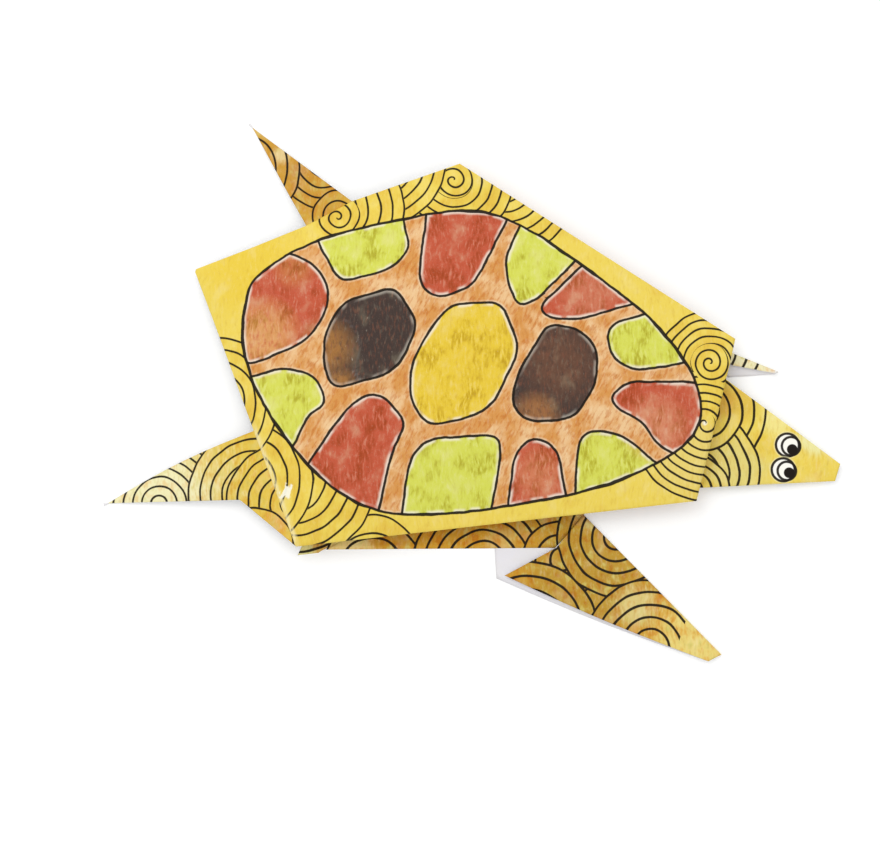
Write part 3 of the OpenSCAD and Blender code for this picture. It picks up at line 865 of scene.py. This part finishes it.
def toned(tree, tint, marks, amount=1.0):
    """The pencil's colour, deeper where strokes overlap and paler between them."""
    overlap = ramp(tree, marks.strokes, 0.5, 0.74, 0.0, 0.36 * amount)
    deep = blended(tree, overlap, tint, linear("#D9C3A6"), "MULTIPLY")
    worn = ramp(tree, marks.patches, 0.52, 0.72, 0.0, 0.18 * amount)
    thin = blended(tree, worn, deep, linear("#FBEFC4"))
    between = ramp(tree, marks.strokes, 0.47, 0.27, 0.0, 0.15 * amount)
    pale = blended(tree, between, thin, linear("#FFF4D2"))
    return blended(tree, ramp(tree, marks.tooth, 0.56, 0.8, 0.0, 0.12 * amount), pale, linear("#FFF8E8"))


def inked(tree, tint, nearest, half, ink, tooth):
    """The colour with the printed line over it, a little uneven in width."""
    width = reckon(tree, "MULTIPLY_ADD", tooth, 0.14, half - 0.07)
    edge = reckon(tree, "SUBTRACT", nearest, width)
    return blended(tree, ramp(tree, edge, 0.1, -0.08, 0.0, 0.98), tint, ink)


def distance_to(tree, place, x, y):
    made = node(tree, "ShaderNodeVectorMath", [(0, place), (1, (x, y, 0))], operation="DISTANCE")
    return made.outputs["Value"]


def patched(tree, tint, place, patches, marks):
    """The colour with each patch's colour blended in (pencil, and on the border painted shade and painted
    light), broken up by the strokes at its edge.
    """
    for patch in patches:
        away = distance_to(tree, place, patch.x, patch.y)
        for mark in (marks.patches, marks.strokes):
            away = reckon(tree, "MULTIPLY_ADD", mark, 0.6 * patch.reach, away)
        near = ramp(tree, away, 1.5 * patch.reach, 0.9 * patch.reach, 0.0, patch.share)
        tint = blended(tree, near, tint, linear(patch.code))
    return tint


def stored(tree, name, socket="Fac"):
    return node(tree, "ShaderNodeAttribute", attribute_name=name).outputs[socket]


def margin_tint(tree, place, marks, colours, covered):
    """Yellow pencil round the oval, deeper between the rings."""
    between = blended(tree, ramp(tree, marks.patches, 0.4, 0.6), tuple(colours.ring), tuple(colours.margin))
    tint = blended(tree, reckon(tree, "MULTIPLY", covered, 0.8), tuple(colours.margin), between)
    tint = blended(tree, ramp(tree, marks.patches, 0.44, 0.3, 0.0, 0.3), tint, linear("#DDAF3A"))
    return toned(tree, patched(tree, tint, place, MARGIN_PATCHES, marks), marks, 0.8)


def ground_tint(tree, place, marks, colours, to_line):
    """Orange pencil between the scutes, streaked brown, which stops a little short of the black lines."""
    paler = ramp(tree, marks.patches, 0.4, 0.64)
    tint = blended(tree, paler, tuple(colours.ground), tuple(colours.ground_pale))
    streaks = ramp(tree, grain(tree, place, 0.9, 3.2, 3.0, STROKE_TURN - 0.5), 0.48, 0.64, 0.0, 0.65)
    tint = toned(tree, blended(tree, streaks, tint, linear("#C8762F")), marks)
    gaps = ramp(tree, grain(tree, place, 3), 0.35, 0.6)
    halo = reckon(tree, "MULTIPLY", ramp(tree, to_line, 1.1, 0.4, 0.0, 0.6), gaps)
    return blended(tree, halo, tint, linear("#F5E0BE"))


def scute_tint(tree, place, marks, depth):
    """Each scute's pencil with a second one in patches; the dark ones are streaked brown."""
    pencil, dark = stored(tree, "pencil", "Color"), stored(tree, "dark")
    broken = ramp(tree, grain(tree, place, 1.0, 2.2, 3.0, STROKE_TURN), 0.2, 0.56, 0.25, 1.0)
    second = reckon(tree, "MULTIPLY", stored(tree, "second_share"), broken)
    tint = blended(tree, second, pencil, stored(tree, "second_pencil", "Color"))
    pressed = ramp(tree, marks.patches, 0.54, 0.36)
    deeper = reckon(tree, "MULTIPLY", pressed, ramp(tree, marks.strokes, 0.36, 0.6))
    light = blended(tree, deeper, tint, linear("#DCD2A0"), "MULTIPLY")
    streaks = ramp(tree, grain(tree, place, 0.7, 2.6, 3.0, STROKE_TURN), 0.5, 0.7, 0.0, 0.5)
    streaked = blended(tree, streaks, tint, linear("#80503C"))
    tint = blended(tree, dark, toned(tree, light, marks), toned(tree, streaked, marks, 0.35))
    gaps = ramp(tree, grain(tree, place, 4, 6, 1.0), 0.38, 0.55)
    edge = reckon(tree, "MULTIPLY", ramp(tree, depth, 1.4, 0.45), gaps)
    edge = reckon(tree, "MULTIPLY", edge, ramp(tree, dark, 0.0, 1.0, 0.75, 0.3))
    return blended(tree, edge, tint, linear("#F7EEDC"))


def worn_edge(tree, tint, place, marks):
    """The folded edge by the right back leg, where the pencil has rubbed off to a pale line."""
    across = node(tree, "ShaderNodeVectorMath", [(0, place), (1, (-ALONG_RIGHT.y, ALONG_RIGHT.x, 0))],
                  operation="DOT_PRODUCT").outputs["Value"]
    along = node(tree, "ShaderNodeVectorMath", [(0, place), (1, (ALONG_RIGHT.x, ALONG_RIGHT.y, 0))],
                 operation="DOT_PRODUCT").outputs["Value"]
    line = reckon(tree, "MULTIPLY", ramp(tree, across, 1.7, 0.5, 0.0, 0.8), ramp(tree, along, 46, 52))
    rubbed = reckon(tree, "MULTIPLY", line, ramp(tree, marks.strokes, 0.36, 0.56, 0.2, 1.0))
    away = distance_to(tree, place, *RUBBED_AT)
    ragged = reckon(tree, "MULTIPLY_ADD", grain(tree, place, 1.3, 2.6), RUBBED_RAGGED, away)
    scuff = ramp(tree, ragged, RUBBED_REACH + 0.5, RUBBED_REACH - 0.5, 0.0, 0.9)
    return blended(tree, scuff, blended(tree, rubbed, tint, linear("#F4E6AE")), linear("#FBF8E6"))


def shell_print(sizes, colours):
    """Coloured pencil over a printed line drawing on uncoated paper: waxy, streaked colour that leaves
    a pale halo beside each black line and lets flecks of white paper through."""
    material, tree = new_material("pencilled_shell")
    place = plan_place(tree, PRINT_SHIFT)
    marks = pencil_marks(tree, place)
    half, ink = sizes.line / MM, tuple(colours.ink)

    ring_place = plan_place(tree, RING_SHIFT)
    to_ring, covered = ring_lines(tree, by_hand(tree, ring_place), SHELL_RINGS)
    margin = margin_tint(tree, ring_place, marks, colours, covered)
    margin = inked(tree, margin, to_ring, half * RING_LINE, ink, marks.tooth)
    margin = worn_edge(tree, margin, plan_place(tree), marks)

    wobble = reckon(tree, "MULTIPLY_ADD", grain(tree, place, 6), 0.9, -0.45)
    to_oval = reckon(tree, "ADD", stored(tree, "to_oval"), wobble)
    to_scute = reckon(tree, "ADD", stored(tree, "to_scute"), wobble)
    oval_line = reckon(tree, "ABSOLUTE", to_oval)
    scute_line = reckon(tree, "ABSOLUTE", to_scute)
    depth = reckon(tree, "MULTIPLY", reckon(tree, "MAXIMUM", to_scute, to_oval), -1.0)
    ground = ground_tint(tree, place, marks, colours, reckon(tree, "MINIMUM", scute_line, oval_line))
    tint = blended(tree, ramp(tree, depth, -0.05, 0.05), ground, scute_tint(tree, place, marks, depth))
    tint = blended(tree, reckon(tree, "MULTIPLY", marks.flecks, 0.25), tint, linear("#FBF1DC"))
    tint = inked(tree, tint, scute_line, half, ink, marks.tooth)
    tint = blended(tree, ramp(tree, to_oval, 0.05, -0.05), margin, tint)
    pressed = reckon(tree, "MULTIPLY_ADD", ramp(tree, grain(tree, place, 15), 0.45, 0.65), -0.16, oval_line)
    tint = inked(tree, tint, pressed, half, ink, marks.tooth)
    paper_shader(tree, tint, marks.tooth, 0.72)
    return material


def limb_print(name, sizes, colours, tint, rings, patches, rubbed=0.6, share=1.0):
    """Pencil over printed rings, one colour with patches of others: mottled where it was rubbed, and thin
    and greenish where the pencil ran out."""
    material, tree = new_material(name)
    place = plan_place(tree)
    marks = pencil_marks(tree, place)
    to_ring, _ = ring_lines(tree, by_hand(tree, place), rings)
    tint = patched(tree, tuple(tint), place, patches, marks)
    mottle = grain(tree, place, 2.4, 3.8, 2.0, STROKE_TURN)
    orange = ramp(tree, mottle, 0.5, 0.7, 0.0, 0.75 * rubbed)
    tint = blended(tree, orange, tint, linear("#F2C47C"), "MULTIPLY")
    green = ramp(tree, mottle, 0.47, 0.32, 0.0, 0.65 * rubbed)
    tint = blended(tree, green, tint, linear("#D2C76C"))
    tint = toned(tree, tint, marks)
    tint = inked(tree, tint, to_ring, share * sizes.line / MM, tuple(colours.ink), marks.tooth)
    return material, tree, place, marks, tint


def back_leg_print(sizes, colours):
    """Gold pencil over thin printed rings, rubbed pale towards the tips, matte and a little waxy."""
    material, tree, _, marks, tint = limb_print(
        "pencilled_back_legs", sizes, colours, colours.leg, BACK_LEG_RINGS, BACK_LEG_PATCHES, share=RING_LINE)
    paper_shader(tree, tint, marks.tooth, 0.74)
    return material


def border_print_and_shade(sizes, colours):
    """Ochre pencil over printed rings, mottled orange and green where it was laid on in two colours. Its
    ochre is set darker as painted shade, deeper still where the front leg leaves the shell, and one pale
    patch is painted light on the strip in the shell's shadow.
    """
    material, tree, _, marks, tint = limb_print(
        "pencilled_border_and_shade", sizes, colours, colours.border, BORDER_RINGS, BORDER_PENCIL_SHADE_AND_LIGHT_PATCHES, rubbed=1.0)
    paper_shader(tree, tint, marks.tooth, 0.74)
    return material


def head_print(sizes, colours):
    """Yellow pencil over printed rings and two printed eyes, with white left bare in the eyes."""
    material, tree, place, marks, tint = limb_print(
        "pencilled_head", sizes, colours, colours.margin, HEAD_RINGS, HEAD_PATCHES, rubbed=0.2)
    half, ink = sizes.line / MM, tuple(colours.ink)
    for circles in EYES:
        rim, inner, pupil = (
            reckon(tree, "SUBTRACT", distance_to(tree, place, x, y), radius) for x, y, radius in circles)
        tint = blended(tree, ramp(tree, rim, 0.9, 0.2, 0.0, 0.7), tint, linear("#F7EFC0"))
        tint = blended(tree, ramp(tree, rim, 0.05, -0.05), tint, linear("#FCFAF0"))
        for circle in (inner, rim):
            tint = inked(tree, tint, reckon(tree, "ABSOLUTE", circle), half, ink, marks.tooth)
        tint = blended(tree, ramp(tree, pupil, 0.08, -0.08), tint, ink)
    paper_shader(tree, tint, marks.tooth, 0.72)
    return material


def bare_paper_and_shade(colours):
    """Uncoated white drawing paper: matte, faintly fibrous, with no pencil on it. Its base tone is a little
    grey and cool, partly painted shade.
    """
    material, tree = new_material("bare_paper_greyed_as_shade")
    place = plan_place(tree)
    fibres = grain(tree, place, 0.3, 0.8, 3.0)
    clouds = grain(tree, place, 6, detail=2.0)
    tint = blended(tree, ramp(tree, clouds, 0.35, 0.7, 0.0, 0.35), tuple(colours.paper), linear("#E9E6E0"))
    tint = blended(tree, ramp(tree, fibres, 0.55, 0.8, 0.0, 0.2), tint, linear("#DEDAD2"))
    paper_shader(tree, tint, fibres, 0.85)
    return material


def put_in_scene(name, mesh):
    made = bpy.data.objects.new(name, mesh)
    bpy.context.scene.collection.objects.link(made)
    return made


class TURTLE_OT_fold_sheet(bpy.types.Operator):
    """Fold the printed sheet into the turtle"""
    bl_idname = "turtle.fold_sheet"
    bl_label = "Fold the sheet"

    def execute(self, context):
        sizes = context.scene.turtle_sizes
        colours = context.scene.turtle_colours
        folder = Folder(sizes)
        fold_shell(folder)
        fold_sides(folder)
        fold_back_legs(folder)
        fold_fore_leg(folder)
        fold_far_leg(folder)
        fold_head(folder)
        every = folder.mesh.verts[:]
        bmesh.ops.translate(folder.mesh, verts=every, vec=(-MIDDLE.x, -MIDDLE.y, 0))
        bmesh.ops.scale(folder.mesh, verts=every, vec=(MM, MM, MM))
        mesh = bpy.data.meshes.new("folded_paper")
        folder.mesh.to_mesh(mesh)
        folder.mesh.free()
        mark_print(mesh, colours)
        piece = put_in_scene("folded_paper", mesh)
        for material in (
            shell_print(sizes, colours),
            back_leg_print(sizes, colours),
            border_print_and_shade(sizes, colours),
            head_print(sizes, colours),
            bare_paper_and_shade(colours),
        ):
            mesh.materials.append(material)
        wall = piece.modifiers.new("paper", "SOLIDIFY")
        wall.thickness = sizes.paper
        wall.offset = 0
        wall.material_offset = BARE
        wall.material_offset_rim = BARE
        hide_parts("folded_sheet")
        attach(piece, "root")
        return {"FINISHED"}


class TURTLE_OT_set_stage(bpy.types.Operator):
    """Add the floor, the lamps and the camera"""
    bl_idname = "turtle.set_stage"
    bl_label = "Set the stage"

    def execute(self, context):
        look = context.scene.turtle_stage
        add_floor()
        add_light(look)
        add_camera(look)
        context.scene.view_settings.view_transform = "Standard"
        return {"FINISHED"}


def seen_directly(tree):
    """One where the camera, a reflection or clear material looks at this, and nought for other light."""
    path = node(tree, "ShaderNodeLightPath").outputs
    seen = reckon(tree, "MAXIMUM", path["Is Camera Ray"], path["Is Glossy Ray"])
    return reckon(tree, "MAXIMUM", seen, path["Is Transmission Ray"])


def add_floor():
    """A white painted board, lit to white, which keeps the turtle's soft shadow."""
    grid = bmesh.new()
    bmesh.ops.create_grid(grid, x_segments=1, y_segments=1, size=FLOOR_HALF)
    mesh = bpy.data.meshes.new("floor")
    grid.to_mesh(mesh)
    grid.free()
    material, tree = new_material("white_board")
    board = node(tree, "ShaderNodeBsdfDiffuse", [("Color", linear("#F6F6F5"))])
    glow = node(tree, "ShaderNodeEmission", [("Color", WHITE), ("Strength", FLOOR_GLOW)])
    both = node(tree, "ShaderNodeAddShader", [(0, board.outputs[0]), (1, glow.outputs[0])])
    pick = node(tree, "ShaderNodeMixShader", [
        (0, seen_directly(tree)), (1, board.outputs[0]), (2, both.outputs[0])])
    out = node(tree, "ShaderNodeOutputMaterial")
    tree.links.new(pick.outputs[0], out.inputs[0])
    mesh.materials.append(material)
    put_in_scene("floor", mesh)


def add_light(look):
    """Even light from a pale world, and one broad soft lamp from the picture's upper left."""
    world = bpy.data.worlds.new("studio")
    bpy.context.scene.world = world
    world.use_nodes = True
    tree = world.node_tree
    tree.nodes.clear()
    air = node(tree, "ShaderNodeBackground", [("Color", WHITE), ("Strength", look.air)])
    white = node(tree, "ShaderNodeBackground", [("Color", WHITE), ("Strength", 1.0)])
    pick = node(tree, "ShaderNodeMixShader", [
        (0, seen_directly(tree)), (1, air.outputs[0]), (2, white.outputs[0])])
    out = node(tree, "ShaderNodeOutputWorld")
    tree.links.new(pick.outputs[0], out.inputs[0])
    lamp = bpy.data.lights.new("softbox", "AREA")
    lamp.size = look.lamp_size
    lamp.energy = look.lamp
    soft = bpy.data.objects.new("softbox", lamp)
    soft.location = LAMP_AT
    soft.rotation_euler = (-soft.location).to_track_quat("-Z", "Y").to_euler()
    bpy.context.scene.collection.objects.link(soft)


def add_camera(look):
    """Stands over the turtle, a little towards its right side, as the picture was taken."""
    aim = PICTURE_MIDDLE * MM
    turn = STROKE_TURN
    toward = Vector((math.sin(turn) * math.cos(look.elevation), -math.cos(turn) * math.cos(look.elevation),
                     math.sin(look.elevation)))
    lens = bpy.data.cameras.new("camera")
    lens.sensor_width = 36
    lens.lens = lens.sensor_width * look.distance / look.view_width
    camera = bpy.data.objects.new("camera", lens)
    camera.location = aim + toward * look.distance
    camera.rotation_euler = Euler((math.pi / 2 - look.elevation, 0, turn))
    bpy.context.scene.collection.objects.link(camera)
    bpy.context.scene.camera = camera


class TURTLE_PT_panel(bpy.types.Panel):
    """Lists the steps in the 3D view's sidebar"""
    bl_idname = "TURTLE_PT_panel"
    bl_label = "Paper turtle"
    bl_space_type = "VIEW_3D"
    bl_region_type = "UI"
    bl_category = "Turtle"

    def draw(self, context):
        for group in (context.scene.turtle_sizes, context.scene.turtle_colours, context.scene.turtle_stage):
            box = self.layout.box()
            for name in group.bl_rna.properties.keys():
                if name not in ("rna_type", "name"):
                    box.prop(group, name)
        for step in STEPS:
            self.layout.operator(step.bl_idname)


STEPS = (TURTLE_OT_fold_sheet, TURTLE_OT_set_stage)
GROUPS = {"turtle_sizes": TurtleSizes, "turtle_colours": TurtleColours, "turtle_stage": TurtleStage}


def register():
    for kind in (*GROUPS.values(), *STEPS, TURTLE_PT_panel):
        bpy.utils.register_class(kind)
    for name, kind in GROUPS.items():
        setattr(bpy.types.Scene, name, bpy.props.PointerProperty(type=kind))


def unregister():
    for name in GROUPS:
        delattr(bpy.types.Scene, name)
    for kind in (TURTLE_PT_panel, *reversed(STEPS), *reversed(GROUPS.values())):
        bpy.utils.unregister_class(kind)


def main():
    register()
    bpy.ops.turtle.set_stage()
    bpy.ops.turtle.fold_sheet()


if __name__ == "__main__":
    main()
